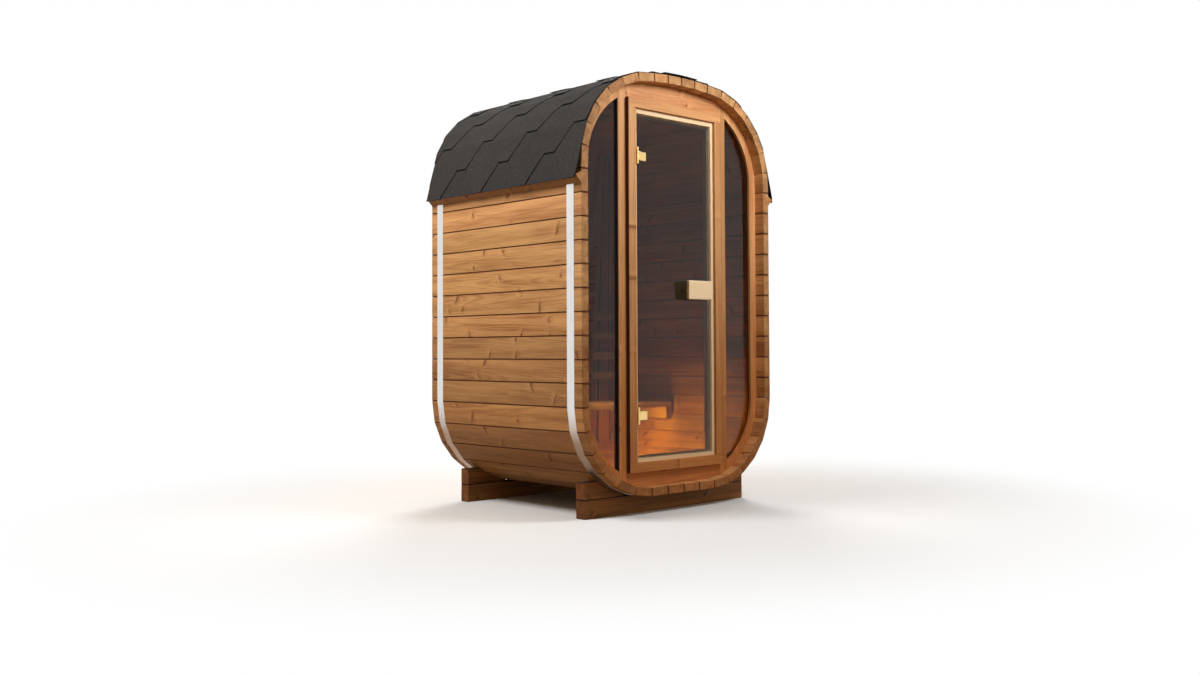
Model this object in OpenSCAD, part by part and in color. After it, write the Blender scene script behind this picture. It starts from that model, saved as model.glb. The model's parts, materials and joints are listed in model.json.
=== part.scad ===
// Small outdoor sauna: a rounded box of bevelled timber staves, hooped by two
// steel bands, resting on two cradle skids, with a glazed front and a glass door.
// Millimetres, +Z up, door facing -Y, origin on the ground under the middle.

/* [Stave ring] */
// Outside width of the ring
barrel_w = 1420; // [1360:10:1560]
// Length of the staves, front to back
barrel_d = 1306; // [1200:2:1800]
// Height of the ring's underside over the ground
base_z = 96; // [80:1:140]
// Thickness of a stave
stave_t = 44; // [38:1:50]
// Cover width of a stave in the straight sides
stave_w = 118; // [112:1:124]
// Staves in each straight side
side_count = 10; // [9:1:11]
// Outside radius of the lower corners
lower_r = 474; // [440:2:500]
// Outside radius of the shoulders
upper_r = 508; // [480:2:520]
// Straight rise of the wall above the side staves before the shoulder turns in
shoulder_rise = 42; // [20:1:60]
// Height of the crown over the shoulders
crown_rise = 9; // [6:1:20]
// Width of the bevel along the long edges of a stave
stave_bevel = 3; // [1:0.5:5]
// Open joint between two staves
stave_gap = 0.5; // [0.2:0.1:0.9]

/* [Bands] */
// Width of a steel band
band_w = 55; // [40:1:70]
// Thickness of a steel band
band_t = 2; // [1.5:0.5:4]
// Distance from the end of the staves to a band
band_inset = 57; // [40:1:60]

/* [Skids] */
// Distance from the side of the ring to the end of a skid
skid_in = 116; // [90:1:140]
// Thickness of a skid
skid_t = 68; // [50:1:90]
// Height of a skid at its ends
skid_h = 185; // [175:1:230]
// Distance from the end of the staves to a skid
skid_inset = 118; // [116:1:160]
// Length of a cradle block
chock_l = 264; // [230:2:280]

/* [Roof] */
// Thickness of the shingle covering
shingle_t = 8; // [4:0.5:10]
// Set-back of the shingles from the ends of the staves
shingle_inset = 2; // [0:1:30]
// Drop of the batten's lower edge below the top joint of the side staves
batten_drop = 73; // [60:1:90]
// Height of the eave batten on the wall
batten_h = 56; // [40:1:70]
// Width of the eave batten
batten_w = 34; // [26:1:40]
// Overhang of the shingles past the batten
drip = 14; // [8:1:24]

/* [Front wall] */
// Depth of the front wall behind the ends of the staves
wall_recess = 63; // [55:1:80]
// Thickness of the end walls
wall_t = 44; // [38:1:60]
// Width of the curved trim round a side window
trim_w = 50; // [40:1:60]
// Width of a stile between door and window
stile_w = 55; // [45:1:65]
// Thickness of a window pane
pane_t = 8; // [6:1:10]
// Depth of the panes behind the front of the wall
pane_recess = 16; // [12:1:24]
// Depth of the groove that holds a pane
pane_groove = 10; // [6:1:14]

/* [Door] */
// Clear width of the doorway in its frame
door_w = 562; // [530:2:580]
// Height of the panel over the casing, at its middle
head_h = 100; // [80:1:140]
// Height of the panel under the casing
foot_h = 78; // [60:1:110]
// Width of the door frame's lip on the jambs
lip_w = 19; // [18:1:26]
// Width of the door frame's lip on the head
head_lip_w = 26; // [20:1:32]
// Width of the door frame's lip on the threshold
sill_lip_w = 18; // [14:1:26]
// Amount by which the door frame stands out from the wall
lip_proud = 6; // [4:1:10]
// Width of the stop behind the glass
stop_w = 12; // [8:1:16]
// Width of the casing
casing_w = 51; // [44:1:60]
// Amount by which the casing stands out from the wall
casing_proud = 22; // [18:1:30]
// Thickness of the door glass
glass_t = 8; // [6:1:10]
// Depth of the door glass behind the front of the wall
glass_recess = 4; // [2:1:8]
// Gap round the door glass
glass_gap = 6.5; // [6.5:0.5:9]

/* [Hinges and handle] */
// Distance of the hinges from the ends of the doorway
hinge_in = 222; // [150:1:300]
// Height of a hinge plate
hinge_h = 88; // [80:1:110]
// Height of the clamp on the glass
clamp_h = 45; // [36:1:50]
// Length of the clamp from the hinge axis
clamp_l = 72; // [60:1:90]
// Thickness of the hinge plates and of the arm to the glass
plate_t = 4; // [3:0.5:4.5]
// Thickness of the clamp plates
clamp_t = 6; // [4:0.5:6]
// Radius of the hinge knuckles
knuckle_r = 6; // [5:0.5:6.5]
// Radius of the hinge pins
pin_r = 2.5; // [2:0.1:3]
// Width of a handle block
handle_w = 186; // [150:1:200]
// Height of a handle block
handle_h = 102; // [80:1:120]
// Thickness of a handle block
handle_t = 20; // [16:1:26]
// Distance of a handle block from the glass
handle_off = 34; // [30:1:45]
// Distance of the handle from the edge of the doorway
handle_in = 34; // [30:1:60]
// Height of the handle's middle over the doorway's lower edge
handle_up = 886; // [800:1:1000]
// Radius of the handle spacers
spacer_r = 10; // [7:0.5:14]

/* [Bench] */
// Height of the seat over the ground
bench_z = 529; // [500:1:580]
// Thickness of the seat slats
slat_t = 28; // [20:1:34]
// Width of the seat slats
slat_w = 96; // [80:1:110]
// Gap between the seat slats
slat_gap = 14; // [8:1:20]
// Number of seat slats
slat_count = 4; // [3:1:5]
// Distance from the ends of the slats to the walls
slat_clear = 31; // [26:1:50]
// Width of the ledgers under the ends of the slats
ledger_w = 45; // [30:1:60]
// Height of the ledgers
ledger_h = 70; // [50:1:90]
// Height of the lowest backrest rail over the ground
rail_z = 690; // [660:1:740]
// Distance between backrest rails
rail_step = 124; // [110:1:130]
// Number of backrest rails
rail_count = 4; // [3:1:5]
// Height of a backrest rail
rail_h = 45; // [35:1:60]
// Thickness of a backrest rail and of the battens behind
rail_t = 22; // [18:1:28]
// Width of the battens behind the rails
post_w = 60; // [40:1:80]
// Distance of the battens from the middle
post_x = 420; // [360:2:520]

/* [Hidden] */
floor_half = 2;
corner_count = 6;
shoulder_count = 7;
crown_half = 2;
seat = 0.3;
pin_clear = 0.05;
eps = 1;
front_y = -barrel_d / 2;
half_t = stave_t / 2;
skid_x = barrel_w / 2 - skid_in;
slat_x = barrel_w / 2 - stave_t - slat_clear;
// Section of the ring
floor_w = barrel_w / 2 - lower_r;
crown_w = barrel_w / 2 - upper_r;
lower_z = base_z + lower_r;
side_top = lower_z + side_count * stave_w;
upper_z = side_top + shoulder_rise;
lower_m = lower_r - half_t;
upper_m = upper_r - half_t;
shoulder_l = shoulder_rise + upper_m * PI / 2;
n_half = floor_half + corner_count + side_count + shoulder_count + crown_half;
n_ring = 2 * n_half;
i_side = floor_half + corner_count;
i_shoulder = i_side + side_count;
i_crown = i_shoulder + shoulder_count;
// Front wall and door
wall_y = front_y + wall_recess;
wall_back = wall_y + wall_t;
lip_y = wall_y - lip_proud;
glass_y = wall_y + glass_recess;
pane_y = wall_y + pane_recess;
frame_x = door_w / 2 + lip_w;
casing_x = frame_x + seat;
stile_x = casing_x + casing_w + seat;
window_x = stile_x + stile_w;
casing_z0 = base_z + stave_t + foot_h;
casing_z1 = upper_z + upper_r - stave_t + crown_rise - head_h;
door_z = casing_z0 + casing_w + seat + sill_lip_w;
door_h = casing_z1 - casing_w - seat - head_lip_w - door_z;
hinge_z0 = door_z + hinge_in;
hinge_z1 = door_z + door_h - hinge_in;
handle_z = door_z + handle_up;
// Hinge axis, in front of the frame's lip
axis_off = 2;
knuckle_gap = 0.5;
axis_x = -door_w / 2 - 1;
axis_y = lip_y - knuckle_r - axis_off;
handle_x = door_w / 2 - handle_in - handle_w;
// Back wall and bench
back_y = barrel_d / 2 - wall_recess - wall_t;
seat_back = back_y - 2 * rail_t - seat;

// Middle line of half the section, from the floor's middle up to the crown
function floor_pt(k) = [floor_w * k / floor_half, base_z + half_t];
function lower_pt(k) = let(a = 90 * k / corner_count)
  [floor_w + lower_m * sin(a), lower_z - lower_m * cos(a)];
function side_pt(k) = [barrel_w / 2 - half_t, lower_z + k * stave_w];
function shoulder_pt(k) = let(
  s = k * shoulder_l / shoulder_count,
  a = max(0, s - shoulder_rise) / upper_m * 180 / PI)
  [crown_w + upper_m * cos(a), side_top + min(s, shoulder_rise) + upper_m * sin(a)];
function crown_pt(k) = let(x = crown_w * (1 - k / crown_half))
  [x, upper_z + upper_m + crown_rise * (1 - pow(x / crown_w, 2))];
half = concat(
  [for (k = [0:floor_half - 1]) floor_pt(k)],
  [for (k = [0:corner_count - 1]) lower_pt(k)],
  [for (k = [0:side_count - 1]) side_pt(k)],
  [for (k = [0:shoulder_count - 1]) shoulder_pt(k)],
  [for (k = [0:crown_half]) crown_pt(k)]);
ring = concat(half, [for (k = [n_half - 1:-1:1]) [-half[k][0], half[k][1]]]);

// Direction and outward normal of a stave, and the joint at its start pushed out by d
function unit(v) = v / norm(v);
function at(i) = ring[(i + n_ring) % n_ring];
function dir(i) = unit(at(i + 1) - at(i));
function out(i) = [dir(i)[1], -dir(i)[0]];
function joint(i, d) = at(i) + (out(i - 1) + out(i)) * d / (1 + out(i - 1) * out(i));
function outline(d) = [for (i = [0:n_ring - 1]) joint(i, d)];

// Bevelled section of one stave
function stave_pts(i) = let(
  u = dir(i), g = u * stave_gap / 2, c = stave_bevel,
  a0 = joint(i, -half_t) + g, a1 = joint(i, half_t) + g,
  b0 = joint(i + 1, -half_t) - g, b1 = joint(i + 1, half_t) - g,
  sa = unit(a1 - a0), sb = unit(b1 - b0))
  [a0 + u * c, b0 - u * c, b0 + sb * c, b1 - sb * c,
   b1 - u * c, a1 + u * c, a1 - sa * c, a0 + sa * c];

// A flat shape of the section plane, drawn out from y0 to y1
module slab(y0, y1) {
  translate([0, y1, 0]) rotate([90, 0, 0]) linear_extrude(y1 - y0) children();
}

module bar(x0, x1, y0, y1, z0, z1) {
  translate([x0, y0, z0]) cube([x1 - x0, y1 - y0, z1 - z0]);
}

module staves(from, to) {
  color("peru") for (i = [from:to])
    slab(front_y, -front_y) polygon(stave_pts(i));
}

module floor_staves() staves(-floor_half, floor_half - 1);
module right_lower_staves() staves(floor_half, i_side - 1);
module left_lower_staves() staves(n_ring - i_side, n_ring - floor_half - 1);
module right_wall_staves() staves(i_side, i_shoulder - 1);
module left_wall_staves() staves(n_ring - i_shoulder, n_ring - i_side - 1);
module right_shoulder_staves() staves(i_shoulder, i_crown - 1);
module left_shoulder_staves() staves(n_ring - i_crown, n_ring - i_shoulder - 1);
module crown_staves() staves(i_crown, n_ring - i_crown - 1);

// Open strip that runs under the ring from one eave batten to the other
band_top = side_top - batten_drop - seat;
function band_side(d) = concat([[-barrel_w / 2 + half_t - d, band_top]],
  [for (i = [-i_side:i_side]) joint(i, d)], [[barrel_w / 2 - half_t + d, band_top]]);
function flip(v) = [for (k = [len(v) - 1:-1:0]) v[k]];
module band(y) {
  color("silver") slab(y, y + band_w)
    polygon(concat(band_side(half_t + seat), flip(band_side(half_t + seat + band_t))));
}
module front_band() band(front_y + band_inset);
module rear_band() band(-front_y - band_inset - band_w);

// Skids: a sleeper under the flat of the floor and blocks cut to the lower corners
module skid(y) {
  color("sienna") bar(-skid_x, skid_x, y, y + skid_t, 0, base_z - seat);
}
module cradle_blocks(y) {
  color("sienna") for (s = [0, 1]) mirror([s, 0, 0])
    slab(y, y + skid_t) difference() {
      translate([skid_x - chock_l, base_z]) square([chock_l, skid_h - base_z]);
      polygon(outline(half_t + seat));
    }
}
front_skid_y = front_y + skid_inset;
rear_skid_y = -front_y - skid_inset - skid_t;
module front_skid() skid(front_skid_y);
module rear_skid() skid(rear_skid_y);
module front_cradle_blocks() cradle_blocks(front_skid_y);
module rear_cradle_blocks() cradle_blocks(rear_skid_y);

// Eaves: a three-sided batten on the wall carries the lower edge of the shingles
batten_z = side_top - batten_drop;
batten_tip = [barrel_w / 2 + batten_w, batten_z + batten_h * 0.64];
module eave_batten() {
  color("peru") slab(front_y, -front_y)
    polygon([[barrel_w / 2 + seat, batten_z], batten_tip,
      [barrel_w / 2 + seat, batten_z + batten_h]]);
}
module right_eave_batten() eave_batten();
module left_eave_batten() mirror([1, 0, 0]) eave_batten();

// Shingle covering, split into two slopes and the crown
lift_pt = joint(i_shoulder + 1, half_t + seat);
eave_dir = unit(batten_tip + [seat, 0] - lift_pt);
eave_out = [-eave_dir[1], eave_dir[0]];
eave_tip = batten_tip + [seat, 0] + eave_dir * drip;
slope_end = i_crown - 1;
module slope_shingles() {
  back_off = dir(slope_end - 1) * seat;
  low = concat([eave_tip, lift_pt],
    [for (i = [i_shoulder + 2:slope_end - 1]) joint(i, half_t + seat)],
    [joint(slope_end, half_t + seat) - back_off]);
  top = concat([eave_tip + eave_out * shingle_t],
    [for (i = [i_shoulder + 1:slope_end - 1]) joint(i, half_t + seat + shingle_t)],
    [joint(slope_end, half_t + seat + shingle_t) - back_off]);
  color("dimgray") slab(front_y + shingle_inset, -front_y - shingle_inset)
    polygon(concat(low, flip(top)));
}
module right_shingles() slope_shingles();
module left_shingles() mirror([1, 0, 0]) slope_shingles();
module crown_shingles() {
  span = [slope_end:n_ring - slope_end];
  color("dimgray") slab(front_y + shingle_inset, -front_y - shingle_inset)
    polygon(concat([for (i = span) joint(i, half_t + seat)],
      flip([for (i = span) joint(i, half_t + seat + shingle_t)])));
}

// Clear shape inside the ring, and the curved side window grown by g
module inside() polygon(outline(-half_t - seat));
module window_shape(g) {
  reach = stave_t + trim_w - g;
  intersection() {
    translate([window_x - g, 0]) square([barrel_w, upper_z + upper_r]);
    union() {
      translate([floor_w, lower_z]) circle(r = lower_r - reach, $fn = 96);
      translate([crown_w, upper_z]) circle(r = upper_r - reach, $fn = 96);
      translate([0, lower_z]) square([barrel_w / 2 - reach, upper_z - lower_z]);
    }
  }
}
module pane_slot() {
  slab(pane_y - seat, pane_y + pane_t + seat) window_shape(pane_groove + seat);
}

// End wall pieces
module stile() {
  color("sienna") difference() {
    slab(wall_y, wall_back) intersection() {
      inside();
      translate([stile_x, 0]) square([stile_w, upper_z + upper_r]);
    }
    pane_slot();
  }
}
module right_stile() stile();
module left_stile() mirror([1, 0, 0]) stile();
module window_trim() {
  color("sienna") difference() {
    slab(wall_y, wall_back) difference() {
      intersection() {
        inside();
        translate([window_x + seat, 0]) square([barrel_w, upper_z + upper_r]);
      }
      window_shape(seat);
    }
    pane_slot();
  }
}
module right_window_trim() window_trim();
module left_window_trim() mirror([1, 0, 0]) window_trim();
module window_pane() {
  color("slategray") slab(pane_y, pane_y + pane_t) window_shape(pane_groove);
}
module right_window() window_pane();
module left_window() mirror([1, 0, 0]) window_pane();
module top_panel() {
  color("sienna") slab(wall_y, wall_back) intersection() {
    inside();
    translate([-stile_x + seat, casing_z1 + seat])
      square([2 * (stile_x - seat), upper_z + upper_r]);
  }
}
module bottom_panel() {
  color("sienna") slab(wall_y, wall_back) intersection() {
    inside();
    translate([-stile_x + seat, 0])
      square([2 * (stile_x - seat), casing_z0 - seat]);
  }
}
module back_wall() {
  color("peru") slab(back_y, back_y + wall_t) inside();
}

// Casing round the door frame
casing_y = wall_y - casing_proud;
casing_out = casing_x + casing_w;
module casing_head() color("sienna")
  bar(-casing_out, casing_out, casing_y, wall_back, casing_z1 - casing_w, casing_z1);
module casing_sill() color("sienna")
  bar(-casing_out, casing_out, casing_y, wall_back, casing_z0, casing_z0 + casing_w);
module right_casing() color("sienna")
  bar(casing_x, casing_out, casing_y, wall_back,
    casing_z0 + casing_w + seat, casing_z1 - casing_w - seat);
module left_casing() mirror([1, 0, 0]) right_casing();

// Rebated door frame: lip in front, stop behind the glass
stop_y = glass_y + glass_t + glass_gap;
function rebate(a, b) = [[a, lip_y], [b, lip_y], [b, wall_back],
  [a - stop_w, wall_back], [a - stop_w, stop_y], [a, stop_y]];
module right_door_jamb() {
  color("wheat") translate([0, 0, door_z - sill_lip_w])
    linear_extrude(door_h + sill_lip_w + head_lip_w)
      polygon(rebate(door_w / 2, frame_x));
}
module left_door_jamb() mirror([1, 0, 0]) right_door_jamb();
module door_rail(a, b, lip, turn) {
  w = door_w / 2 - seat;
  shape = [for (p = rebate(0, lip)) [p[1], turn * p[0]]];
  color("wheat") difference() {
    translate([-w, 0, a]) rotate([90, 0, 90]) linear_extrude(2 * w) polygon(shape);
    for (s = [-1, 1]) translate([s * door_w / 2 - stop_w - seat, stop_y - seat, b])
      cube([2 * (stop_w + seat), wall_back - stop_y + 2 * seat, 2 * stop_w + 2 * lip]);
  }
}
module door_head()
  door_rail(door_z + door_h, door_z + door_h - stop_w - head_lip_w, head_lip_w, 1);
module door_threshold() door_rail(door_z, door_z - sill_lip_w - stop_w, sill_lip_w, -1);

// Bench along the back wall, carried on ledgers cut to the curve of the walls,
// with a railed backrest on two battens
module bench_seat() {
  color("burlywood") for (k = [0:slat_count - 1])
    let(y = seat_back - k * (slat_w + slat_gap) - slat_w)
      bar(-slat_x, slat_x, y, y + slat_w, bench_z - slat_t, bench_z);
}
bench_d = slat_count * (slat_w + slat_gap) - slat_gap;
module bench_supports() {
  color("burlywood") for (s = [0, 1]) mirror([s, 0, 0]) {
    slab(seat_back - bench_d, seat_back) intersection() {
      inside();
      translate([slat_x - ledger_w, bench_z - slat_t - seat - ledger_h])
        square([barrel_w, ledger_h]);
    }
    bar(post_x - post_w / 2, post_x + post_w / 2, back_y - rail_t, back_y - seat,
      rail_z - rail_h, rail_z + (rail_count - 1) * rail_step + rail_h);
  }
}
module backrest_rails() {
  color("burlywood") for (k = [0:rail_count - 1])
    bar(-slat_x, slat_x, back_y - 2 * rail_t - seat, back_y - rail_t - seat,
      rail_z + k * rail_step - rail_h / 2, rail_z + k * rail_step + rail_h / 2);
}

// Hinges: plate with two knuckles and a pin on the frame, clamp with one on the glass
module hinge_plate() {
  cheek = (hinge_h - clamp_h) / 2 - knuckle_gap;
  plate_x = axis_x - knuckle_r - axis_off;
  plate_y = lip_y - seat - plate_t;
  bar(-frame_x, plate_x, plate_y, lip_y - seat, -hinge_h / 2, hinge_h / 2);
  for (s = [0, 1]) mirror([0, 0, s]) {
    bar(plate_x - eps, axis_x, plate_y, lip_y - seat, hinge_h / 2 - cheek, hinge_h / 2);
    translate([axis_x, axis_y, hinge_h / 2 - cheek]) cylinder(r = knuckle_r, h = cheek, $fn = 48);
  }
  translate([axis_x, axis_y, -hinge_h / 2]) cylinder(r = pin_r, h = hinge_h, $fn = 48);
}
module hinge_plates() {
  color("goldenrod") for (z = [hinge_z0, hinge_z1]) translate([0, 0, z]) hinge_plate();
}
module hinge_clamp() {
  arm_x = axis_x + knuckle_r + 2 * plate_t;
  difference() {
    union() {
      translate([axis_x, axis_y, -clamp_h / 2]) cylinder(r = knuckle_r, h = clamp_h, $fn = 48);
      bar(axis_x, arm_x + clamp_t, axis_y - plate_t, axis_y, -clamp_h / 2, clamp_h / 2);
      bar(arm_x, arm_x + clamp_t, axis_y - plate_t, glass_y - seat, -clamp_h / 2, clamp_h / 2);
      bar(arm_x, axis_x + clamp_l, glass_y - seat - clamp_t, glass_y - seat,
        -clamp_h / 2, clamp_h / 2);
    }
    translate([axis_x, axis_y, -clamp_h])
      cylinder(r = pin_r + pin_clear, h = 2 * clamp_h, $fn = 48);
  }
  bar(arm_x, axis_x + clamp_l, glass_y + glass_t + seat, glass_y + glass_t + seat + clamp_t,
    -clamp_h / 2, clamp_h / 2);
}
module hinge_clamps() {
  color("goldenrod") for (z = [hinge_z0, hinge_z1]) translate([0, 0, z]) hinge_clamp();
}

// Frameless door leaf with a timber grip on both sides
module door_glass() {
  color("slategray") bar(-door_w / 2 + glass_gap, door_w / 2 - glass_gap,
    glass_y, glass_y + glass_t, door_z + glass_gap, door_z + door_h - glass_gap);
}
grip_out = glass_y - handle_off - handle_t;
grip_in = glass_y + glass_t + handle_off;
module grip(y) {
  color("wheat") bar(handle_x, handle_x + handle_w, y, y + handle_t,
    handle_z - handle_h / 2, handle_z + handle_h / 2);
}
module outer_handle() grip(grip_out);
module inner_handle() grip(grip_in);
module handle_spacers() {
  color("goldenrod") for (x = [handle_x + handle_w / 5, handle_x + handle_w * 4 / 5],
    y = [grip_out + handle_t + seat, glass_y + glass_t + seat])
      translate([x, y, handle_z]) rotate([-90, 0, 0])
        cylinder(r = spacer_r, h = handle_off - 2 * seat, $fn = 48);
}

floor_staves();
right_lower_staves();
left_lower_staves();
right_wall_staves();
left_wall_staves();
right_shoulder_staves();
left_shoulder_staves();
crown_staves();
front_band();
rear_band();
front_skid();
rear_skid();
front_cradle_blocks();
rear_cradle_blocks();
right_eave_batten();
left_eave_batten();
right_shingles();
left_shingles();
crown_shingles();
right_stile();
left_stile();
top_panel();
bottom_panel();
right_window_trim();
left_window_trim();
right_window();
left_window();
casing_head();
casing_sill();
right_casing();
left_casing();
door_head();
door_threshold();
right_door_jamb();
left_door_jamb();
back_wall();
bench_seat();
bench_supports();
backrest_rails();
hinge_plates();
door_glass();
hinge_clamps();
outer_handle();
inner_handle();
handle_spacers();
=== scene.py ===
"""Looks of the small outdoor sauna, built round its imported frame.

Metres, +Z up, door facing -Y, as in the frame.
"""

import json
import math
import random

import bmesh
import bpy
from mathutils import Matrix, Vector


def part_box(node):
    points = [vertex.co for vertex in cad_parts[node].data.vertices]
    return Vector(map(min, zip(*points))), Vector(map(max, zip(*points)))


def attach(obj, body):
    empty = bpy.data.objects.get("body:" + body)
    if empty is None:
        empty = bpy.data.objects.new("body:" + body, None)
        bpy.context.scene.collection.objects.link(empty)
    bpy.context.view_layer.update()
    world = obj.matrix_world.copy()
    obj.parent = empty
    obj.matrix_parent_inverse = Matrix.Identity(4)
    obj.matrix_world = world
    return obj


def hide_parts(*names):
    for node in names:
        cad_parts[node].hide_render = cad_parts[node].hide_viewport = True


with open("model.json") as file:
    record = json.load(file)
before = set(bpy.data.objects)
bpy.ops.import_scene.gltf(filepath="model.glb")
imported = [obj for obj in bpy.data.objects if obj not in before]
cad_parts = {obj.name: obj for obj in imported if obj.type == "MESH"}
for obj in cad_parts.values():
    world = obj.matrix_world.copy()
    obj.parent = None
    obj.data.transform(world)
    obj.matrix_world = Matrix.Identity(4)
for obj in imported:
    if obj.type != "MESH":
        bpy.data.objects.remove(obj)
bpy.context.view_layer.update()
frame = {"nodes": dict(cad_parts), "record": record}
slot_of = {part["node"]: part["material_slot"] for part in frame["record"]["subparts"]}
body_of = {node: body for body, nodes in frame["record"]["behaviour"]["bodies"].items()
           for node in nodes}

# Which nodes are dressed alike
WOODS = ("stave_wood", "trim_wood", "skid_wood", "pale_wood", "bench_wood")
JOINTED_WOODS = ("stave_wood", "skid_wood")
METAL_NODES = ("front_band", "rear_band", "hinge_plates", "hinge_clamps", "handle_spacers")
GLASS_NODES = ("left_window", "right_window", "door_glass")

# Joinery
WELD = 1e-5
FLAT_ANGLE = math.radians(1)
SHARP_EDGE = math.radians(20)
TIMBER_EASE = 0.0012
HANDLE_EASE = 0.004
SKID_EASE = 0.003
METAL_EASE = 0.0005
GLASS_EASE = 0.0010
WALL_BOARD_W = 0.118
WALL_BOARD_V = 0.003
WALL_BOARD_GAP = 0.0006
UPRIGHT = 0.999

# How a board lay in its log
PITH_ASIDE = 0.06
PITH_BELOW = (0.03, 0.10)
LEAN_ASIDE = 0.025
LEAN_BELOW = 0.035
LOG_LENGTH = 40.0
END_FACE = 0.8
UNJOINTED = 10.0

# Knots
KNOT_ROW = 0.080
KNOT_STEP = 0.300
KNOT_SCATTER = 0.9
KNOT_LEAN = 0.6
KNOT_SMALLEST = 0.0045
KNOT_GROWTH = 0.0055
KNOT_SPIKED = (0.30, 0.95)
KNOT_RAGGED = 1.3
KNOT_RAGS = 60.0
KNOT_PUSH = 0.007
KNOT_REACH = 0.055
HALO_RADII = (0.4, 2.6)
HALO_SHARE = 0.75
CORE_RADII = (-0.2, 1.2)
CORE_SHARE = 0.75
WAVE_AHEAD = (-0.002, 0.010)
WAVE_START = 0.014
WAVE_SHARE = 0.55

# Growth rings
RING_WANDER = 0.022
RING_SHARE = 0.38
END_RING_SHARE = 0.12
LATE_START = 0.30
LATE_PEAK = 0.9
SEASON_LEAST = 0.3
SEASON_SPREAD = 0.7
SWIRL_REACH = (0.010, 0.050)
SWIRL_SHARE = 0.55

# Noise along the grain, in waves per metre across, through and along
SLOW = (9.0, 9.0, 1.7)
FIBRE = (420.0, 420.0, 9.0)
FLECK = (130.0, 130.0, 5.0)
DRIFT = (17.0, 17.0, 1.4)
STREAK = (30.0, 30.0, 0.6)

# How much each of them moves the colour from early to late wood
FIBRE_SHARE = 0.50
FLECK_SHARE = 0.85
DRIFT_SHARE = 1.40
STREAK_SHARE = 0.11
STREAK_EDGE = (0.45, 0.56)
LATE_SHARE = 0.30

# Tones of boards, their ends and their joints
REDDEST_GREEN = -0.09
REDDEST_BLUE = -0.06
PALEST = 1.03
TONES_TO_REDS = 7.3
END_DEEPER = -0.22
END_JOINT = 0.5
JOINT_EDGE = (0.75, 1.15)
JOINT_SHARE = 0.9

# Painted shade: wood darker and redder towards the ground, end grain most
FOOT_SHADE_FULL = 0.25
FOOT_SHADE_NONE = 1.40
FOOT_SHADE_TONE = (0.84, 0.64, 0.46, 1.0)
END_FOOT_SHADE = 0.9

# Felt granules per metre
GRIT = 560.0
CLUMP = 170.0
PATCH = 4.0

# Metal, and its splash dirt and painted shade where it faces down
METAL_MARKS = 9.0
SHADE_SPLASH_SPOTS = 40.0
SHADE_SPLASH_RAGGED = 0.10
SHADE_SPLASH_START = 0.05
SHADE_SPLASH_FULL = 0.50
SHADE_SPLASH_MOST = 0.9

# Glass
GLASS_FILM = (5.0, 5.0, 1.6)
GLASS_IOR = 1.33

# Shingles
COURSE = 0.145
ROW_STEP = 0.0145
SHEET_COLUMNS = 4
FELT = 0.0026
FELT_STACK = 3 * FELT
FIRST_COURSE = 0.012
CUT_STRAY = 0.003
TAB_FLAT = 0.088
TAB_PERIOD = 0.384
TAB_SHIFT = 0.166
TAB_GAP = 0.001
TAB_LEAST = 0.002
TAB_LOWEST = FELT * 0.8
TAB_LIP = 0.0025
TAB_LIP_REACH = 0.080
TABS_EACH_WAY = 3
STARTER = 0.210
STARTER_ROWS = 10
STARTER_LIFT = FELT * 0.9
STARTER_FELT = FELT * 0.8
STARTER_TONE = 0.3
RIDGE_REACH = 0.125
RIDGE_ROWS = 8
RIDGE_LAP = 1.4
RIDGE_FELT = 0.0022
RIDGE_SEAT = 0.0004
RIDGE_HEAD = 0.0034

# Line under the shingles
ROOF_HEART = 1.80
UNDERSIDE = -0.5
BEND_REACH = 0.03
TINY = 1e-9

# Hinge screws
HINGE_TALL = 0.088
PLATE_SCREW_OFF = 0.034
PLATE_SCREW_IN = 0.0048
PLATE_SCREW_R = 0.0032
CLAMP_SCREWS_IN = (0.015, 0.043)
CLAMP_SCREW_R = 0.0046
SCREW_STEPS = 24
SIXTH = math.tau / 6
SCREW_PROFILE = (
    (0.98, -0.20, False), (1.0, 0.06, False), (0.94, 0.16, False), (0.72, 0.27, False),
    (0.58, 0.29, True), (0.54, 0.26, True), (0.50, -0.12, True))

# Seals, also painting shade, and strips of painted shade beside the casing
STRIP_EASE = 0.001
SEAL_W = 0.003
SEAL_SETBACK = 0.003
SEAL_FOOT = 0.018
SEAL_HEAD = 0.019
SHADE_STRIP_W = 0.0025
SHADE_STRIP_SETBACK = 0.001
SHADE_STRIP_END = 0.002

# Stage
FLOOR_REACH = 30.0
FLOOR_SQUARES = 8
FLOOR_FADE = (1.1, 3.2)
WORLD_LIGHT = 0.24
WORLD_TONE = (1.0, 0.80, 0.55, 1.0)
WHITE = (1.0, 1.0, 1.0, 1.0)

# Photograph's camera
PHOTO_W = 1200
PHOTO_H = 675
FOCAL_PX = 1157.9
AXIS_PX = (667.41, 313.22)
SENSOR_W = 36.0
CAMERA_PLACE = (-4.41417, -4.96558, 0.86004)
CAMERA_TURN = math.radians(44.8895)
CAMERA_TILT = math.radians(1.72178)
CAMERA_ROLL = math.radians(-0.34637)


def tint(red, green, blue):
    """Linear colour of an 8-bit display colour."""
    def linear(level):
        level /= 255
        return level / 12.92 if level <= 0.04045 else ((level + 0.055) / 1.055) ** 2.4
    return (linear(red), linear(green), linear(blue), 1.0)


# Node wiring

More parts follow.
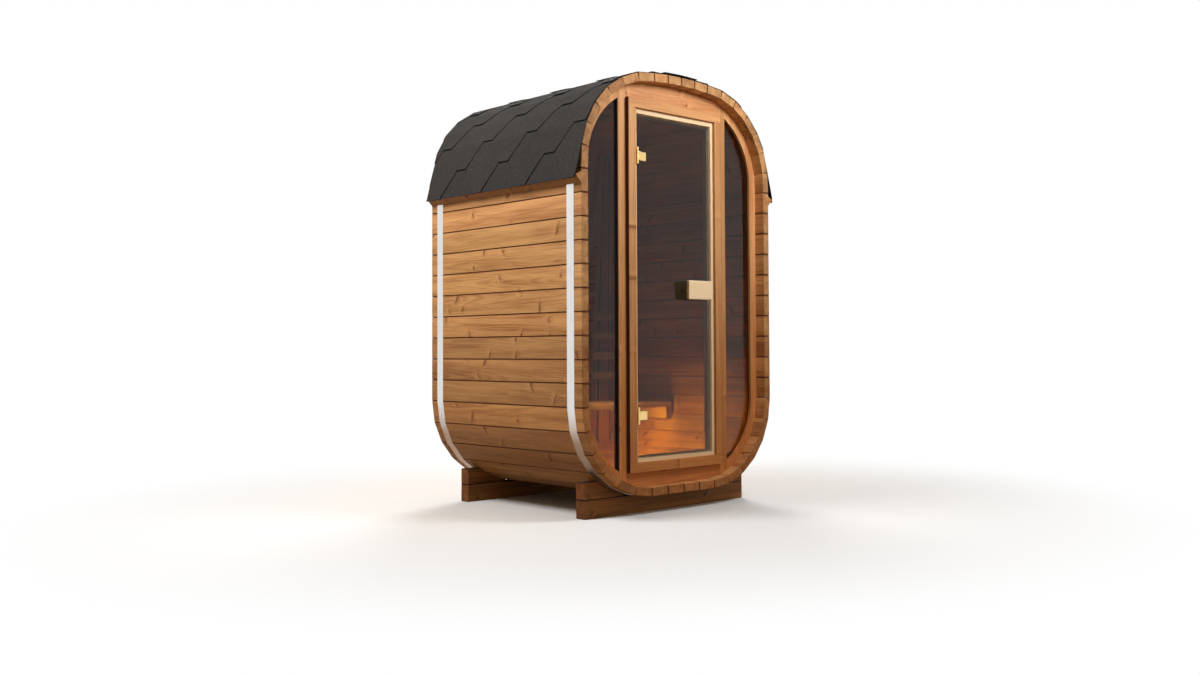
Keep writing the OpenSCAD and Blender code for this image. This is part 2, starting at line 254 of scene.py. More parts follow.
class Wires:
    """Adds and joins the nodes of one shader tree."""

    def __init__(self, tree):
        self.tree = tree

    def feed(self, socket, value):
        if isinstance(value, bpy.types.NodeSocket):
            self.tree.links.new(value, socket)
        else:
            socket.default_value = value

    def node(self, kind, inputs=None, **settings):
        made = self.tree.nodes.new("ShaderNode" + kind)
        for key, value in settings.items():
            setattr(made, key, value)
        for key, value in (inputs or {}).items():
            self.feed(made.inputs[key], value)
        return made

    def maths(self, operation, *values, clamp=False):
        made = self.node("Math", operation=operation, use_clamp=clamp)
        for socket, value in zip(made.inputs, values):
            self.feed(socket, value)
        return made.outputs[0]

    def swing(self, value, size, base):
        """Base, moved by how far a value is from one half."""
        return self.maths("MULTIPLY_ADD", self.maths("SUBTRACT", value, 0.5), size, base)

    def vector(self, operation, *values):
        made = self.node("VectorMath", operation=operation)
        for socket, value in zip(made.inputs, values):
            self.feed(socket, value)
        return made.outputs["Value" if operation == "LENGTH" else "Vector"]

    def fade(self, value, start, end, low=0.0, high=1.0):
        """Smooth step of a value from start to end."""
        made = self.node("MapRange", {"Value": value, "From Min": start, "From Max": end,
                                      "To Min": low, "To Max": high},
                         interpolation_type="SMOOTHSTEP")
        return made.outputs["Result"]

    def blend(self, share, first, second, mode="MIX"):
        made = self.node("Mix", data_type="RGBA", blend_type=mode)
        for place, value in ((0, share), (6, first), (7, second)):
            self.feed(made.inputs[place], value)
        return made.outputs[2]

    def noise(self, place, scale=1.0, detail=3.0, roughness=0.5, stretch=None):
        if stretch:
            place = self.vector("MULTIPLY", place, stretch)
        made = self.node("TexNoise", {"Vector": place, "Scale": scale, "Detail": detail,
                                      "Roughness": roughness})
        return made.outputs["Fac"]

    def split(self, vector):
        return self.node("SeparateXYZ", {"Vector": vector}).outputs

    def join(self, x, y, z=0.0):
        return self.node("CombineXYZ", {"X": x, "Y": y, "Z": z}).outputs["Vector"]

    def attribute(self, name, output):
        return self.node("Attribute", attribute_name=name).outputs[output]

    def object_place(self):
        return self.node("TexCoord").outputs["Object"]

    def bump(self, height, strength, distance):
        made = self.node("Bump", {"Height": height, "Strength": strength, "Distance": distance})
        return made.outputs["Normal"]

    def group(self, tree, values):
        made = self.node("Group", node_tree=tree)
        for label, value in values.items():
            self.feed(made.inputs[label], value)
        return made.outputs


def shader_group(name, inputs, outputs):
    """Empty node group with named sockets, its wires, its inputs and its outputs."""
    tree = bpy.data.node_groups.new(name, "ShaderNodeTree")
    for label, kind in inputs.items():
        tree.interface.new_socket(label, in_out="INPUT", socket_type="NodeSocket" + kind)
    for label, kind in outputs.items():
        tree.interface.new_socket(label, in_out="OUTPUT", socket_type="NodeSocket" + kind)
    given = tree.nodes.new("NodeGroupInput").outputs
    wanted = tree.nodes.new("NodeGroupOutput").inputs
    return tree, Wires(tree), given, wanted


def blank_material(name):
    """New material with its wires and its Principled shader."""
    material = bpy.data.materials.new(name)
    material.use_nodes = True
    wires = Wires(material.node_tree)
    shader = material.node_tree.nodes["Principled BSDF"]
    return material, wires, shader


def seen_rays(wires):
    """One for rays from the eye, a mirror or glass, and nought for those that carry light."""
    path = wires.node("LightPath").outputs
    seen = wires.maths("MAXIMUM", path["Is Camera Ray"], path["Is Glossy Ray"])
    return wires.maths("MAXIMUM", seen, path["Is Transmission Ray"])


# Timber

def knots_of(wires, across, along, amount, longest):
    """Nearest knot: how far in radii and in metres, the way along, and if it is there."""
    row = wires.maths("DIVIDE", across, KNOT_ROW)
    step = wires.maths("DIVIDE", along, KNOT_STEP)
    cells = wires.node("TexVoronoi", {"Vector": wires.join(row, step), "Scale": 1.0,
                                      "Randomness": KNOT_SCATTER}, voronoi_dimensions="2D")
    heart = wires.split(cells.outputs["Position"])
    luck = wires.split(cells.outputs["Color"])
    there = wires.maths("LESS_THAN", luck["X"], amount)
    off_x = wires.maths("MULTIPLY", wires.maths("SUBTRACT", row, heart["X"]), KNOT_ROW)
    off_y = wires.maths("MULTIPLY", wires.maths("SUBTRACT", step, heart["Y"]), KNOT_STEP)
    metres = wires.vector("LENGTH", wires.join(off_x, off_y))

    # Some knots are cut along their branch and lean across the board
    lean = wires.maths("MULTIPLY_ADD", luck["Y"], 2 * KNOT_LEAN, -KNOT_LEAN)
    ahead = wires.maths("MULTIPLY_ADD", off_x, lean, off_y)
    spike = wires.fade(luck["Z"], *KNOT_SPIKED, 1.0, longest)
    radius = wires.maths("MULTIPLY_ADD", luck["Y"], KNOT_GROWTH, KNOT_SMALLEST)
    oval = wires.vector("LENGTH", wires.join(wires.maths("DIVIDE", off_x, spike), ahead))
    ragged = wires.noise(wires.join(across, along), scale=KNOT_RAGS)
    radii = wires.maths("ADD", wires.maths("DIVIDE", oval, radius),
                        wires.maths("MULTIPLY_ADD", ragged, 2 * KNOT_RAGGED, -KNOT_RAGGED))
    return radii, metres, ahead, there


def timber_figure():
    """Growth rings, fibres, knots and dark joints of one sawn board, with painted shade towards
    the ground.
    """
    tree, wires, given, wanted = shader_group(
        "timber figure",
        {"Grain": "Vector", "Board": "Vector", "End": "Float", "Early Wood": "Color",
         "Late Wood": "Color", "Knot": "Color", "Joint": "Color", "Ring Width": "Float",
         "Knots": "Float", "Longest Knot": "Float", "Tone Spread": "Float",
         "Joint Width": "Float", "Foot Shade": "Float"},
        {"Color": "Color", "Roughness": "Float", "Height": "Float"})
    grain = given["Grain"]
    end = given["End"]
    across, depth, along = wires.split(grain)
    tone, side, half = wires.split(given["Board"])
    radii, metres, ahead, there = knots_of(wires, across, along, given["Knots"],
                                           given["Longest Knot"])

    # Rings round a leaning pith, pushed aside by knots
    log = wires.vector("LENGTH", wires.join(across, depth))
    slow = wires.noise(grain, stretch=SLOW)
    bulge = wires.maths("MULTIPLY", wires.fade(metres, 0.0, KNOT_REACH, KNOT_PUSH, 0.0), there)
    grown = wires.maths("SUBTRACT", wires.maths("MULTIPLY_ADD", slow, RING_WANDER, log), bulge)
    count = wires.maths("DIVIDE", grown, given["Ring Width"])
    year = wires.maths("FRACT", count)
    hard = wires.maths("MULTIPLY", wires.fade(year, LATE_START, LATE_PEAK),
                       wires.fade(year, LATE_PEAK, 1.0, 1.0, 0.0))
    season = wires.node("TexWhiteNoise", {"W": wires.maths("FLOOR", count)},
                        noise_dimensions="1D").outputs["Value"]
    late = wires.maths("MULTIPLY", hard,
                       wires.maths("MULTIPLY_ADD", season, SEASON_SPREAD, SEASON_LEAST))
    swirl = wires.maths("MULTIPLY", wires.fade(metres, *SWIRL_REACH, SWIRL_SHARE, 0.0), there)
    plain = wires.maths("MULTIPLY_ADD", end, END_RING_SHARE, RING_SHARE)
    figured = wires.maths("MULTIPLY", late, wires.maths("ADD", plain, swirl))

    # Fibres, flecks, and slow drifts of colour along the board
    fibre = wires.noise(grain, stretch=FIBRE)
    fleck = wires.noise(grain, stretch=FLECK)
    drift = wires.noise(grain, stretch=DRIFT)
    streak = wires.noise(grain, stretch=STREAK, detail=2.0)
    share = wires.swing(fibre, FIBRE_SHARE, figured)
    streaks = wires.fade(streak, *STREAK_EDGE, -STREAK_SHARE, STREAK_SHARE)
    share = wires.maths("ADD", streaks, share)
    share = wires.swing(fleck, FLECK_SHARE, share)
    share = wires.swing(drift, DRIFT_SHARE, share)
    share = wires.maths("ADD", share, LATE_SHARE, clamp=True)
    wood = wires.blend(share, given["Early Wood"], given["Late Wood"])

    # Each board's own tone, and some boards redder than others
    lift = wires.swing(tone, given["Tone Spread"], 1.0)
    redder = wires.maths("FRACT", wires.maths("MULTIPLY", tone, TONES_TO_REDS))
    green = wires.maths("MULTIPLY_ADD", redder, REDDEST_GREEN, PALEST)
    blue = wires.maths("MULTIPLY_ADD", redder, REDDEST_BLUE, PALEST)
    lifted = wires.join(lift, wires.maths("MULTIPLY", lift, green),
                        wires.maths("MULTIPLY", lift, blue))
    wood = wires.blend(1.0, wood, lifted, "MULTIPLY")

    # Knots: a ragged brown core in a dark halo, with bright wavy wood on one side
    wave = wires.maths("MULTIPLY", wires.fade(ahead, *WAVE_AHEAD),
                       wires.fade(metres, WAVE_START, KNOT_REACH, WAVE_SHARE, 0.0))
    wood = wires.blend(wires.maths("MULTIPLY", wave, there), wood, given["Early Wood"])
    halo = wires.maths("MULTIPLY", wires.fade(radii, *HALO_RADII, HALO_SHARE, 0.0), there)
    core = wires.maths("MULTIPLY", wires.fade(radii, *CORE_RADII, 1.0, 0.0), there)
    wood = wires.blend(halo, wood, given["Late Wood"])
    wood = wires.blend(wires.maths("MULTIPLY", core, CORE_SHARE), wood, given["Knot"])

    # Painted shade: wood near the ground is darker and redder, end grain most
    height = wires.split(wires.object_place())["Z"]
    shade_share = wires.maths("MAXIMUM", given["Foot Shade"], wires.maths("MULTIPLY", end, END_FOOT_SHADE))
    foot_shade = wires.maths("MULTIPLY", wires.fade(height, FOOT_SHADE_FULL, FOOT_SHADE_NONE, 1.0, 0.0), shade_share)
    wood = wires.blend(foot_shade, wood, wires.blend(1.0, wood, FOOT_SHADE_TONE, "MULTIPLY"))

    # End grain is deeper; long edges are dark where two boards meet, most so on their ends
    deeper = wires.maths("MULTIPLY_ADD", end, END_DEEPER, 1.0)
    wood = wires.blend(1.0, wood, wires.join(deeper, deeper, deeper), "MULTIPLY")
    gap = wires.maths("SUBTRACT", half, wires.maths("ABSOLUTE", side))
    wide = wires.maths("MULTIPLY", given["Joint Width"],
                       wires.maths("MULTIPLY_ADD", end, END_JOINT, 1.0))
    joint = wires.fade(wires.maths("DIVIDE", gap, wide), *JOINT_EDGE, JOINT_SHARE, 0.0)
    wires.feed(wanted["Color"], wires.blend(joint, wood, given["Joint"]))

    # Late wood is smoother and stands proud, and knots are sunk
    rough = wires.maths("MULTIPLY_ADD", late, -0.10, 0.60)
    rough = wires.maths("MULTIPLY_ADD", fibre, 0.16, rough)
    rough = wires.maths("MULTIPLY_ADD", joint, 0.35, rough)
    wires.feed(wanted["Roughness"], wires.maths("MULTIPLY_ADD", end, 0.12, rough))
    ridge = wires.maths("MULTIPLY_ADD", fibre, 0.6, wires.maths("MULTIPLY", late, 0.5))
    wires.feed(wanted["Height"], wires.maths("MULTIPLY_ADD", core, -0.5, ridge))
    return tree


TIMBER = timber_figure()


# The last argument sets how much painted shade darkens and reddens the wood towards the ground
def timber_material(name, early, late, knot, joint, *, ring_width, knots, longest, spread,
                    joint_width, foot_shade=0.0):
    """One kind of timber from the shared board figure."""
    material, wires, shader = blank_material(name)
    figure = wires.group(TIMBER, {
        "Grain": wires.attribute("grain", "Vector"), "Board": wires.attribute("board", "Vector"),
        "End": wires.attribute("end_grain", "Fac"), "Early Wood": early, "Late Wood": late,
        "Knot": knot, "Joint": joint, "Ring Width": ring_width, "Knots": knots,
        "Longest Knot": longest, "Tone Spread": spread, "Joint Width": joint_width,
        "Foot Shade": foot_shade})
    wires.feed(shader.inputs["Base Color"], figure["Color"])
    wires.feed(shader.inputs["Roughness"], figure["Roughness"])
    wires.feed(shader.inputs["Normal"], wires.bump(figure["Height"], 0.35, 0.0006))
    shader.inputs["Specular IOR Level"].default_value = 0.35
    return material


def felt_material():
    """Mineral granules on bitumen felt, with black cut edges."""
    material, wires, shader = blank_material("granule felt")
    place = wires.object_place()
    grit = wires.node("TexVoronoi", {"Vector": place, "Scale": GRIT})
    sparkle = wires.split(grit.outputs["Color"])["X"]
    clump = wires.noise(place, scale=CLUMP, detail=2.0)
    patch = wires.noise(place, scale=PATCH, detail=4.0, roughness=0.6)
    tone, edge, _ = wires.split(wires.attribute("tab", "Vector"))
    share = wires.maths("MULTIPLY_ADD", sparkle, 0.40, wires.maths("MULTIPLY", patch, 0.22))
    share = wires.maths("MULTIPLY_ADD", wires.fade(clump, 0.35, 0.66), 0.42, share)
    share = wires.maths("MULTIPLY_ADD", tone, 0.08, share)
    granules = wires.blend(share, tint(13, 12, 12), tint(64, 60, 57))
    wires.feed(shader.inputs["Base Color"], wires.blend(edge, granules, tint(9, 9, 10)))
    wires.feed(shader.inputs["Roughness"], wires.maths("MULTIPLY_ADD", sparkle, -0.18, 0.95))
    wires.feed(shader.inputs["Normal"], wires.bump(grit.outputs["Distance"], 0.5, 0.0008))
    shader.inputs["Specular IOR Level"].default_value = 0.2
    return material


def rolled_marks():
    """Fine lines left by rolling, and soft handling marks, of a metal piece."""
    tree, wires, given, wanted = shader_group(
        "rolled marks",
        {"Lines": "Vector", "Marks": "Vector", "Bright": "Color", "Dull": "Color",
         "Roughness": "Float"},
        {"Color": "Color", "Roughness": "Float", "Height": "Float"})
    line = wires.noise(given["Lines"])
    mark = wires.noise(given["Marks"], scale=METAL_MARKS)
    share = wires.maths("MULTIPLY_ADD", line, 0.55, wires.fade(mark, 0.50, 0.80, 0.0, 0.25))
    wires.feed(wanted["Color"], wires.blend(share, given["Bright"], given["Dull"]))
    rough = wires.maths("MULTIPLY_ADD", line, 0.14, given["Roughness"])
    wires.feed(wanted["Roughness"], wires.maths("MULTIPLY_ADD", mark, 0.10, rough))
    wires.feed(wanted["Height"], line)
    return tree


ROLLED = rolled_marks()


def metal_material(name, bright, dull, roughness, stretch, splash_and_shade=None):
    """Bare metal with rolling lines along it, darker where it faces down: splash dirt together
    with painted shade.
    """
    material, wires, shader = blank_material(name)
    place = wires.object_place()
    marks = wires.group(ROLLED, {
        "Lines": wires.vector("MULTIPLY", place, stretch), "Marks": place, "Bright": bright,
        "Dull": dull, "Roughness": roughness})
    colour = marks["Color"]
    if splash_and_shade:
        # Splash dirt and painted shade: faces turned down are darkened in the base colour
        facing = wires.split(wires.node("NewGeometry").outputs["Normal"])["Z"]
        spots = wires.noise(place, scale=SHADE_SPLASH_SPOTS, detail=4.0)
        down = wires.maths("MULTIPLY_ADD", spots, SHADE_SPLASH_RAGGED,
                           wires.maths("MULTIPLY", facing, -1.0))
        dirt_and_shade = wires.fade(down, SHADE_SPLASH_START, SHADE_SPLASH_FULL, 0.0, SHADE_SPLASH_MOST)
        colour = wires.blend(dirt_and_shade, colour, splash_and_shade)
    wires.feed(shader.inputs["Base Color"], colour)
    wires.feed(shader.inputs["Roughness"], marks["Roughness"])
    wires.feed(shader.inputs["Normal"], wires.bump(marks["Height"], 0.10, 0.0002))
    shader.inputs["Metallic"].default_value = 1.0
    return material


def glass_material():
    """Dark tinted glass, faintly filmed, that lets lamps through."""
    material, wires, shader = blank_material("smoked glass")
    film = wires.noise(wires.object_place(), detail=4.0, stretch=GLASS_FILM)
    colour = wires.blend(film, tint(135, 136, 134), tint(123, 124, 122))
    wires.feed(shader.inputs["Base Color"], colour)
    wires.feed(shader.inputs["Roughness"], wires.fade(film, 0.50, 0.85, 0.0, 0.03))
    shader.inputs["Transmission Weight"].default_value = 1.0
    shader.inputs["IOR"].default_value = GLASS_IOR
    clear = wires.node("BsdfTransparent", {"Color": tint(92, 92, 89)})
    from_lamp = wires.node("LightPath").outputs["Is Shadow Ray"]
    both = wires.node("MixShader", {0: from_lamp, 1: shader.outputs[0], 2: clear.outputs[0]})
    wires.feed(material.node_tree.nodes["Material Output"].inputs["Surface"], both.outputs[0])
    return material


def rubber_material():
    """Black seal with a dusty bloom."""
    material, wires, shader = blank_material("black seal and shade")
    bloom = wires.noise(wires.object_place(), scale=60.0, detail=4.0)
    wires.feed(shader.inputs["Base Color"], wires.blend(bloom, tint(14, 10, 8), tint(38, 27, 20)))
    wires.feed(shader.inputs["Roughness"], wires.maths("MULTIPLY_ADD", bloom, 0.25, 0.55))
    return material


# Material of each slot, then of the pieces that look unlike their slot

MATERIALS = {
    "stave_wood": timber_material(
        "honey staves", tint(224, 167, 106), tint(156, 98, 50), tint(86, 48, 22),
        tint(80, 36, 10), ring_width=0.0062, knots=0.36, longest=3.5, spread=0.34,
        joint_width=0.0036, foot_shade=0.3),
    "trim_wood": timber_material(
        "russet trim", tint(226, 166, 106), tint(178, 112, 60), tint(100, 50, 22),
        tint(96, 52, 26), ring_width=0.0050, knots=0.30, longest=1.2, spread=0.24,
        joint_width=0.0012, foot_shade=1.0),
    "skid_wood": timber_material(
        "skid timber", tint(176, 122, 66), tint(98, 56, 24), tint(50, 26, 11),
        tint(30, 15, 6), ring_width=0.0065, knots=0.50, longest=2.5, spread=0.26,
        joint_width=0.0030),
    "pale_wood": timber_material(
        "pale frame", tint(240, 210, 166), tint(226, 188, 136), tint(168, 112, 62),
        tint(196, 150, 92), ring_width=0.0040, knots=0.06, longest=1.0, spread=0.10,
        joint_width=0.0010),
    "bench_wood": timber_material(
        "bench timber", tint(222, 176, 118), tint(178, 120, 68), tint(96, 54, 26),
        tint(120, 74, 38), ring_width=0.0055, knots=0.40, longest=1.5, spread=0.22,
        joint_width=0.0016),
    "shingle": felt_material(),
    "band_steel": metal_material(
        "bright steel", tint(238, 235, 231), tint(204, 202, 200), roughness=0.24,
        stretch=(4.0, 700.0, 4.0), splash_and_shade=tint(150, 116, 88)),
    "brass": metal_material(
        "polished brass", tint(246, 216, 150), tint(216, 176, 98), roughness=0.16,
        stretch=(8.0, 8.0, 900.0)),
    "tinted_glass": glass_material(),
}
# Painted shade: near-black red-brown for the strips that stand for the shade on the casing's side
# faces
SHADE_STRIP = timber_material(
    "painted shade strip", tint(74, 30, 14), tint(46, 16, 7), tint(24, 10, 5), tint(30, 12, 6),
    ring_width=0.0040, knots=0.10, longest=1.0, spread=0.10, joint_width=0.0010)
HANDLE = timber_material(
    "aspen handle", tint(254, 230, 184), tint(246, 210, 158), tint(190, 140, 90),
    tint(214, 172, 116), ring_width=0.0040, knots=0.0, longest=1.0, spread=0.06,
    joint_width=0.0010)
# Black seal, whose dark also paints the shade on the stiles' window-side faces
SEAL_AND_SHADE = rubber_material()


# Pieces

def new_piece(name, shape, material, body, slot, *stands_for):
    """Turns a shape into a piece of the model that rides on a body."""
    mesh = bpy.data.meshes.new(name)
    shape.to_mesh(mesh)
    shape.free()
    mesh.shade_smooth()
    mesh.set_sharp_from_angle(angle=SHARP_EDGE)
    mesh.materials.append(material)
    piece = bpy.data.objects.new(name, mesh)
    bpy.context.scene.collection.objects.link(piece)
    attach(piece, body)
    if stands_for:
        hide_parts(*stands_for)


def bevel(shape, edges, width, steps):
    """Cuts edges back by a width, in steps."""
    bmesh.ops.bevel(shape, geom=edges, offset=width, segments=steps, profile=0.5,
                    affect="EDGES", clamp_overlap=True)


def ease_edges(shape, ease):
    """Rounds the sharp edges a little."""
    sharp = [e for e in shape.edges if e.is_manifold and e.calc_face_angle() > SHARP_EDGE]
    bevel(shape, sharp, ease, 2)


def solids_of(node, ease):
    """The node's solids with flat faces made whole and sharp edges eased."""
    shape = bmesh.new()
    shape.from_mesh(frame["nodes"][node].data)
    bmesh.ops.remove_doubles(shape, verts=shape.verts, dist=WELD)
    bmesh.ops.dissolve_limit(shape, angle_limit=FLAT_ANGLE, verts=shape.verts,
                             edges=shape.edges)
    ease_edges(shape, ease)
    return shape


def separate_solids(shape):
    """Lists of joined faces, one for each solid."""
    shape.faces.index_update()
    seen = set()
    for first in shape.faces:
        if first.index in seen:
            continue
        seen.add(first.index)
        solid = [first]
        for face in solid:
            for edge in face.edges:
                for other in edge.link_faces:
                    if other.index not in seen:
                        seen.add(other.index)
                        solid.append(other)
        yield solid


def board_axes(points):
    """Middle of a board and its directions along the grain, across it and through it."""
    low = [min(p[i] for p in points) for i in range(3)]
    high = [max(p[i] for p in points) for i in range(3)]
    middle = Vector([(a + b) / 2 for a, b in zip(low, high)])
    longest = max(range(3), key=lambda i: high[i] - low[i])
    along = Vector([float(i == longest) for i in range(3)])
    first = Vector([float(i == (longest + 1) % 3) for i in range(3)])
    second = along.cross(first)
    flat = [((p - middle).dot(first), (p - middle).dot(second)) for p in points]
    spread = sum(a * a - b * b for a, b in flat)
    turn = 0.5 * math.atan2(2 * sum(a * b for a, b in flat), spread)
    across = first * math.cos(turn) + second * math.sin(turn)
    return middle, along, across, along.cross(across)


def mark_grain(shape, seed, jointed=False):
    """Writes on each board where its wood lay in the log, its tone and its end faces."""
    grain = shape.verts.layers.float_vector.new("grain")
    board = shape.verts.layers.float_vector.new("board")
    ends = shape.faces.layers.float.new("end_grain")
    chance = random.Random(seed)
    for solid in list(separate_solids(shape)):
        verts = list(dict.fromkeys(v for face in solid for v in face.verts))
        middle, along, across, through = board_axes([v.co for v in verts])
        half = UNJOINTED
        if jointed:
            half = max(abs((v.co - middle).dot(across)) for v in verts)
        pith_x = chance.uniform(-PITH_ASIDE, PITH_ASIDE)
        pith_z = chance.uniform(*PITH_BELOW)
        lean_x = chance.uniform(-LEAN_ASIDE, LEAN_ASIDE)
        lean_z = chance.uniform(-LEAN_BELOW, LEAN_BELOW)
        start = chance.uniform(0.0, LOG_LENGTH)
        turned = chance.choice((-1, 1))
        tone = chance.random()
        for v in verts:
            off = v.co - middle
            x = off.dot(across) * turned
            z = off.dot(through)
            y = off.dot(along)
            v[grain] = (x + pith_x + lean_x * y, z + pith_z + lean_z * y, y + start)
            v[board] = (tone, x, half)
        for face in solid:
            face[ends] = float(abs(face.normal.dot(along)) > END_FACE)


def dress_timber(node):
    """Wooden node as eased boards with a figure of their own."""
    slot = slot_of[node]
    material = MATERIALS[slot]
    ease = TIMBER_EASE
    if node.endswith("handle"):
        material = HANDLE
        ease = HANDLE_EASE
    elif slot == "skid_wood":
        ease = SKID_EASE
    shape = solids_of(node, ease)
    mark_grain(shape, node, slot in JOINTED_WOODS)
    new_piece(node + "_timber", shape, material, body_of[node], slot, node)


def dress_hard(node, ease):
    """Metal or glass node with eased edges."""
    slot = slot_of[node]
    shape = solids_of(node, ease)
    new_piece(node + "_finished", shape, MATERIALS[slot], body_of[node], slot, node)


# Back wall

def prism(outline, low, high):
    """Solid of a flat x-z outline drawn out along y."""
    shape = bmesh.new()
    front = [shape.verts.new((x, low, z)) for x, z in outline]
    back = [shape.verts.new((x, high, z)) for x, z in outline]
    shape.faces.new(front)
    shape.faces.new(back[::-1])
    for i in range(len(outline)):
        j = (i + 1) % len(outline)
        shape.faces.new((front[j], front[i], back[i], back[j]))
    bmesh.ops.recalc_face_normals(shape, faces=shape.faces)
    return shape


def clip_outline(outline, x_low, x_high):
    """Part of an x-z outline between two upright lines."""
    for bound, sign in ((x_low, 1), (x_high, -1)):
        kept = []
        for (ax, az), (bx, bz) in zip(outline, outline[1:] + outline[:1]):
            a_in = (ax - bound) * sign >= 0
            if a_in:
                kept.append((ax, az))
            if a_in != ((bx - bound) * sign >= 0):
                share = (bound - ax) / (bx - ax)
                kept.append((bound, az + (bz - az) * share))
        outline = kept
    return outline


def wall_outline(node):
    """Outline of a node's front face, in order round its middle."""
    low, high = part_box(node)
    middle = (low + high) / 2
    points = {(round(v.co.x, 5), round(v.co.z, 5)) for v in frame["nodes"][node].data.vertices
              if abs(v.co.y - low.y) < WELD}
    return sorted(points, key=lambda p: math.atan2(p[1] - middle.z, p[0] - middle.x))


def dress_back_wall():
    """Back wall as upright boards with V-joints."""
    low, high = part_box("back_wall")
    outline = wall_outline("back_wall")
    count = round((high.x - low.x) / WALL_BOARD_W)
    step = (high.x - low.x) / count
    wall = bmesh.new()
    for k in range(count):
        x = low.x + k * step
        part = clip_outline(outline, x + WALL_BOARD_GAP / 2, x + step - WALL_BOARD_GAP / 2)
        board = prism(part, low.y, high.y)
        upright = [e for e in board.edges
                   if abs((e.verts[0].co - e.verts[1].co).normalized().z) > UPRIGHT]
        bevel(board, upright, WALL_BOARD_V, 1)
        ease_edges(board, TIMBER_EASE / 2)
        mesh = bpy.data.meshes.new("wall_board")
        board.to_mesh(mesh)
        board.free()
        wall.from_mesh(mesh)
        bpy.data.meshes.remove(mesh)
    mark_grain(wall, "back_wall", True)
    new_piece("back_wall_boards", wall, MATERIALS["stave_wood"], "cabin", "stave_wood",
              "back_wall")


# Shingle covering

class Drape:
    """Top line of the covering's support from the left eave to the crown."""

    def __init__(self):
        points = set()
        for node in ("left_shingles", "crown_shingles"):
            mesh = frame["nodes"][node].data
            for face in mesh.polygons:
                outward = Vector((face.center.x, 0, face.center.z - ROOF_HEART)).normalized()
                if face.normal.dot(outward) < UNDERSIDE:
                    corners = [mesh.vertices[i].co for i in face.vertices]
                    points |= {(round(co.x, 5), round(co.z, 5)) for co in corners}
        left = sorted(p for p in points if p[0] < WELD)
        self.points = [Vector((x, z)) for x, z in left]
        self.lengths = [0.0]
        for a, b in zip(self.points, self.points[1:]):
            self.lengths.append(self.lengths[-1] + (b - a).length)
        self.total = self.lengths[-1]

    def at(self, s, lift):
        """Point at arc length s up from the left eave and past the crown, lifted off."""
        if s > self.total:
            across = self.at(2 * self.total - s, lift)
            return Vector((-across.x, across.y))
        return self.flat(s) + self.rise(s) * lift

    def rise(self, s):
        """Outward direction, turned smoothly near each bend."""
        before = self.flat(max(0.0, s - BEND_REACH))
        after = self.flat(min(self.total, s + BEND_REACH))
        run = (after - before).normalized()
        return Vector((-run.y, run.x))

    def flat(self, s):
        """Point on the support itself."""
        k = max(i for i, start in enumerate(self.lengths[:-1]) if start <= s + TINY)
        a, b = self.points[k], self.points[k + 1]
        return a + (b - a).normalized() * (s - self.lengths[k])


def sheet_rows(shape, layer, drape, rows, tone, side, head=0.0):
    """Thin sheet through rows, with its head end raised.

    A row is an arc length, the y it runs from and to, the lift of its top and its thickness.
    """
    top, under = [], []
    for s, y0, y1, lift, thick in rows:
        for grid, height in ((top, lift), (under, lift - thick)):
            line = []
            for k in range(SHEET_COLUMNS + 1):
                share = k / SHEET_COLUMNS
                x, z = drape.at(s, height + head * (1 - share))
                line.append(shape.verts.new((x * side, y0 + (y1 - y0) * share, z)))
            grid.append(line)

    def add_face(cut, *verts):
        face = shape.faces.new(verts)
        for loop in face.loops:
            loop[layer] = (tone, cut, 0.0)

    last = len(rows) - 1
    for r in range(last):
        n = r + 1
        for k in range(SHEET_COLUMNS):
            add_face(0, top[r][k], top[r][k + 1], top[n][k + 1], top[n][k])
            add_face(1, under[r][k + 1], under[r][k], under[n][k], under[n][k + 1])
        for k in (0, SHEET_COLUMNS):
            add_face(1, top[r][k], top[n][k], under[n][k], under[r][k])
    for r in (0, last):
        for k in range(SHEET_COLUMNS):
            add_face(1, top[r][k + 1], top[r][k], under[r][k], under[r][k + 1])


def tab_rows(drape, start, middle, front, back):
    """Rows of one hexagon tab and of the strip that carries it."""
    rows = []
    count = round(2 * COURSE / ROW_STEP)
    runout = [-start] if start < ROW_STEP else []
    lipless = runout or start > drape.total - RIDGE_REACH - TAB_LIP_REACH
    for up in runout + [k * ROW_STEP for k in range(count + 2)]:
        if start + up > drape.total:
            break
        climb = max(0.0, up)
        wide = TAB_FLAT + (TAB_PERIOD - 2 * TAB_FLAT) * min(1.0, climb / COURSE)
        if up > COURSE + ROW_STEP / 2:
            wide = TAB_PERIOD - TAB_GAP
        y0 = max(front, middle - wide / 2)
        y1 = min(back, middle + wide / 2)
        if y1 - y0 < TAB_LEAST:
            continue
        lip = 0.0 if lipless else TAB_LIP * max(0.0, 1 - up / TAB_LIP_REACH) ** 2
        lift = max(FELT_STACK - FELT * climb / COURSE, TAB_LOWEST)
        rows.append((start + up, y0, y1, lift + lip, FELT))
    return rows


def dress_slope(node, side):
    """Courses of hexagon tabs over one slope, on a straight starter strip."""
    drape = Drape()
    low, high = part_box(node)
    chance = random.Random(node)
    shape = bmesh.new()
    layer = shape.loops.layers.float_vector.new("tab")
    starter = [(k * STARTER / STARTER_ROWS, low.y, high.y, STARTER_LIFT, STARTER_FELT)
               for k in range(STARTER_ROWS + 1)]
    sheet_rows(shape, layer, drape, starter, STARTER_TONE, side)
    courses = int((drape.total - FIRST_COURSE) / COURSE) + 1
    for k in range(courses):
        start = FIRST_COURSE + k * COURSE
        shift = TAB_SHIFT - (TAB_PERIOD / 2 if k % 2 else 0)
        trim = chance.uniform(-CUT_STRAY, CUT_STRAY)
        for n in range(-TABS_EACH_WAY, TABS_EACH_WAY + 1):
            rows = tab_rows(drape, start, shift + n * TAB_PERIOD, low.y + trim, high.y + trim)
            if len(rows) > 1:
                sheet_rows(shape, layer, drape, rows, chance.random(), side)
    bmesh.ops.recalc_face_normals(shape, faces=shape.faces)
    new_piece(node + "_courses", shape, MATERIALS["shingle"], "cabin", "shingle", node)


